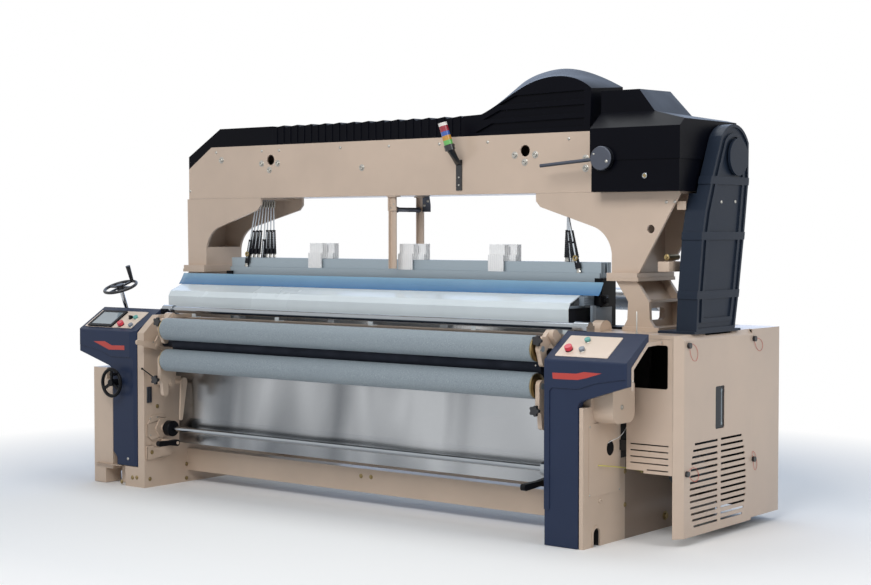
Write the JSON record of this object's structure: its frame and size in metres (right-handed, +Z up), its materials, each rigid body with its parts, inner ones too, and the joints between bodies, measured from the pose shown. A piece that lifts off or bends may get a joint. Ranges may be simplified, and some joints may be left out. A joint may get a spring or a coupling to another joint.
{
  "type": "water-jet power loom",
  "caption": "Wide water-jet power loom with overhead dobby, press rollers, consoles at both ends and covered drive",
  "frame": {"origin": "on the floor, at the middle of the overall width and depth", "axes": "+X to the weaver's right, +Y from the weaver to the warp beam, +Z up"},
  "size_m": [3.944, 1.679, 2.3534],
  "materials": {
    "beige_casting": "smooth beige enamel over castings",
    "beige_sheet": "powder-coated beige sheet",
    "panel_inlay": "flat pale beige panel",
    "black_moulding": "near-black moulded covers, satin",
    "slate_moulding": "dark slate moulding, satin",
    "navy_moulding": "navy moulding, satin",
    "signal_plastic": "black bracket with coloured lamp segments",
    "screen_plastic": "dark bezel and glass",
    "red_plastic": "signal red",
    "green_plastic": "green",
    "grey_plastic": "blue-grey",
    "black_plastic": "black phenolic",
    "chrome": "hard chrome, polished",
    "white_sheet": "white enamel",
    "blue_clear": "translucent blue sheet",
    "stainless": "stainless sheet",
    "roller_rubber": "speckled grey rubber",
    "emery_steel": "grit-covered steel",
    "lever_steel": "dull steel",
    "shaft_steel": "turned steel",
    "motor_grey": "grey enamel",
    "belt_rubber": "black belt",
    "sley_aluminium": "bare aluminium",
    "reed_steel": "thin steel",
    "heald_aluminium": "grey anodised aluminium"
  },
  "bodies": {
    "loom": {"side_frame_right": "beige_casting", "side_frame_left": "beige_casting", "cross_rails": "beige_casting", "pedestals": "beige_casting", "gussets": "beige_sheet", "overhead_beam": "beige_sheet", "left_gear_housing": "beige_casting", "end_cover": "beige_sheet", "rear_end_cover": "beige_sheet", "inner_panel": "beige_sheet", "take_up_cover": "beige_casting", "console_panels": "panel_inlay", "beam_end_cover": "black_moulding", "ribbed_cover": "black_moulding", "hump_cover": "black_moulding", "dobby_box": "black_moulding", "dobby_cover": "black_moulding", "belt_cover": "slate_moulding", "signal_lamp": "signal_plastic", "console_right": "navy_moulding", "console_left": "navy_moulding", "touch_screen": "screen_plastic", "breast_bar": "chrome", "front_cover": "white_sheet", "splash_shield": "blue_clear", "steel_apron": "stainless", "drive_motor": "motor_grey", "drive_belts": "belt_rubber", "heald_guides": "black_plastic"},
    "take_up": {"take_up_roller": "emery_steel"},
    "upper_arm_pair": {"upper_arms": "beige_casting"},
    "lower_arm_pair": {"lower_arms": "beige_casting"},
    "upper_press_roller": {"upper_roller": "roller_rubber"},
    "lower_press_roller": {"lower_roller": "roller_rubber"},
    "cloth_beam": {"cloth_roller": "chrome", "cloth_knob": "black_plastic"},
    "cloth_catch_left": {"cloth_handle_left": "black_plastic"},
    "cloth_catch_right": {"cloth_handle_right": "black_plastic"},
    "tension_arm": {"tension_lever": "beige_casting"},
    "handwheel": {"front_handwheel": "black_plastic"},
    "crank": {"crank_wheel": "black_plastic"},
    "stop_right": {"emergency_stop_right": "red_plastic"},
    "stop_left": {"emergency_stop_left": "red_plastic"},
    "start_right": {"start_button_right": "green_plastic"},
    "start_left": {"start_button_left": "green_plastic"},
    "jog_right": {"jog_button_right": "grey_plastic"},
    "jog_left": {"jog_button_left": "grey_plastic"},
    "selector": {"selector_knob": "black_plastic"},
    "levelling_lever": {"dobby_lever": "lever_steel"},
    "main": {"main_shaft": "shaft_steel"},
    "dobby_drive": {"dobby_pulley": "shaft_steel"},
    "motor_drive": {"motor_pulley": "shaft_steel"},
    "sley_group": {"sley": "sley_aluminium", "reed": "reed_steel"},
    "warp": {"warp_beam": "sley_aluminium"},
    "back_rest": {"back_rest_roller": "shaft_steel"},
    "shed_1": {"heald_frames_1": "heald_aluminium"},
    "shed_2": {"heald_frames_2": "heald_aluminium"},
    "shed_3": {"heald_frames_3": "heald_aluminium"},
    "shed_4": {"heald_frames_4": "heald_aluminium"}
  },
  "joints": [
    {"name": "take_up_spin", "type": "hinge", "parent": "loom", "child": "take_up", "pos_m": [0, -0.5605, 0.8435], "axis": [1, 0, 0], "continuous": true},
    {"name": "upper_arm_swing", "type": "hinge", "parent": "loom", "child": "upper_arm_pair", "pos_m": [0, -0.61, 0.998], "axis": [-1, 0, 0], "range_deg": [0, 20]},
    {"name": "upper_roller_spin", "type": "hinge", "parent": "upper_arm_pair", "child": "upper_press_roller", "pos_m": [0, -0.68, 0.933], "axis": [1, 0, 0], "continuous": true},
    {"name": "lower_arm_swing", "type": "hinge", "parent": "loom", "child": "lower_arm_pair", "pos_m": [0, -0.62, 0.62], "axis": [1, 0, 0], "range_deg": [0, 20], "stiffness_Nm_per_rad": 40, "springref_deg": -34.38},
    {"name": "lower_roller_spin", "type": "hinge", "parent": "lower_arm_pair", "child": "lower_press_roller", "pos_m": [0, -0.68, 0.754], "axis": [1, 0, 0], "continuous": true},
    {"name": "cloth_roller_spin", "type": "hinge", "parent": "loom", "child": "cloth_beam", "pos_m": [0, -0.58, 0.343], "axis": [1, 0, 0], "continuous": true},
    {"name": "cloth_handle_left_turn", "type": "hinge", "parent": "loom", "child": "cloth_catch_left", "pos_m": [-1.301, -0.58, 0.262], "axis": [-1, 0, 0], "range_deg": [0, 35]},
    {"name": "cloth_handle_right_turn", "type": "hinge", "parent": "loom", "child": "cloth_catch_right", "pos_m": [1.351, -0.63, 0.29], "axis": [-1, 0, 0], "range_deg": [0, 35]},
    {"name": "tension_lever_turn", "type": "hinge", "parent": "loom", "child": "tension_arm", "pos_m": [-1.384, -0.655, 0.832], "axis": [1, 0, 0], "range_deg": [-15, 15]},
    {"name": "front_handwheel_spin", "type": "hinge", "parent": "loom", "child": "handwheel", "pos_m": [-1.636, -0.776, 0.608], "axis": [0, 1, 0], "continuous": true},
    {"name": "crank_wheel_spin", "type": "hinge", "parent": "loom", "child": "crank", "pos_m": [-1.845, -0.438, 0.93], "axis": [0, -0.342, 0.9397], "continuous": true},
    {"name": "emergency_stop_right_press", "type": "slide", "parent": "loom", "child": "stop_right", "axis": [0, 0.533, -0.8461], "range_m": [0, 0.006]},
    {"name": "emergency_stop_left_press", "type": "slide", "parent": "loom", "child": "stop_left", "axis": [0, 0.533, -0.8461], "range_m": [0, 0.006]},
    {"name": "start_button_right_press", "type": "slide", "parent": "loom", "child": "start_right", "axis": [0, 0.533, -0.8461], "range_m": [0, 0.004], "stiffness_N_per_m": 800},
    {"name": "start_button_left_press", "type": "slide", "parent": "loom", "child": "start_left", "axis": [0, 0.533, -0.8461], "range_m": [0, 0.004], "stiffness_N_per_m": 800},
    {"name": "jog_button_right_press", "type": "slide", "parent": "loom", "child": "jog_right", "axis": [0, 0.533, -0.8461], "range_m": [0, 0.004], "stiffness_N_per_m": 800},
    {"name": "jog_button_left_press", "type": "slide", "parent": "loom", "child": "jog_left", "axis": [0, 0.533, -0.8461], "range_m": [0, 0.004], "stiffness_N_per_m": 800},
    {"name": "selector_turn", "type": "hinge", "parent": "loom", "child": "selector", "pos_m": [-1.636, -0.62161, 0.98083], "axis": [0, -0.533, 0.8461], "range_deg": [0, 90]},
    {"name": "levelling_lever_turn", "type": "hinge", "parent": "loom", "child": "levelling_lever", "pos_m": [1.448, -0.302, 1.854], "axis": [0, 1, 0], "range_deg": [-20, 20]},
    {"name": "main_shaft_spin", "type": "hinge", "parent": "loom", "child": "main", "pos_m": [0, -0.056, 0.64], "axis": [1, 0, 0], "continuous": true},
    {"name": "dobby_pulley_spin", "type": "hinge", "parent": "loom", "child": "dobby_drive", "pos_m": [1.89, 0.144, 1.862], "axis": [1, 0, 0], "continuous": true},
    {"name": "motor_pulley_spin", "type": "hinge", "parent": "loom", "child": "motor_drive", "pos_m": [1.835, 0.19, 0.33], "axis": [1, 0, 0], "continuous": true},
    {"name": "sley_swing", "type": "hinge", "parent": "loom", "child": "sley_group", "pos_m": [0, -0.23, 0.33], "axis": [1, 0, 0], "range_deg": [-3, 4]},
    {"name": "warp_beam_spin", "type": "hinge", "parent": "loom", "child": "warp", "pos_m": [0, 0.495, 0.48], "axis": [1, 0, 0], "continuous": true},
    {"name": "back_rest_spin", "type": "hinge", "parent": "loom", "child": "back_rest", "pos_m": [0, 0.47, 1.13], "axis": [1, 0, 0], "continuous": true},
    {"name": "heald_lift_1", "type": "slide", "parent": "loom", "child": "shed_1", "axis": [0, 0, 1], "range_m": [0, 0.055]},
    {"name": "heald_lift_2", "type": "slide", "parent": "loom", "child": "shed_2", "axis": [0, 0, 1], "range_m": [-0.055, 0]},
    {"name": "heald_lift_3", "type": "slide", "parent": "loom", "child": "shed_3", "axis": [0, 0, 1], "range_m": [-0.055, 0]},
    {"name": "heald_lift_4", "type": "slide", "parent": "loom", "child": "shed_4", "axis": [0, 0, 1], "range_m": [-0.055, 0]}
  ],
  "couplings": [
    {"joint": "upper_roller_spin", "follows": "take_up_spin", "ratio": -1.3281},
    {"joint": "lower_roller_spin", "follows": "take_up_spin", "ratio": -1.3281},
    {"joint": "dobby_pulley_spin", "follows": "main_shaft_spin", "ratio": 1.2222},
    {"joint": "motor_pulley_spin", "follows": "main_shaft_spin", "ratio": 2.8}
  ]
}
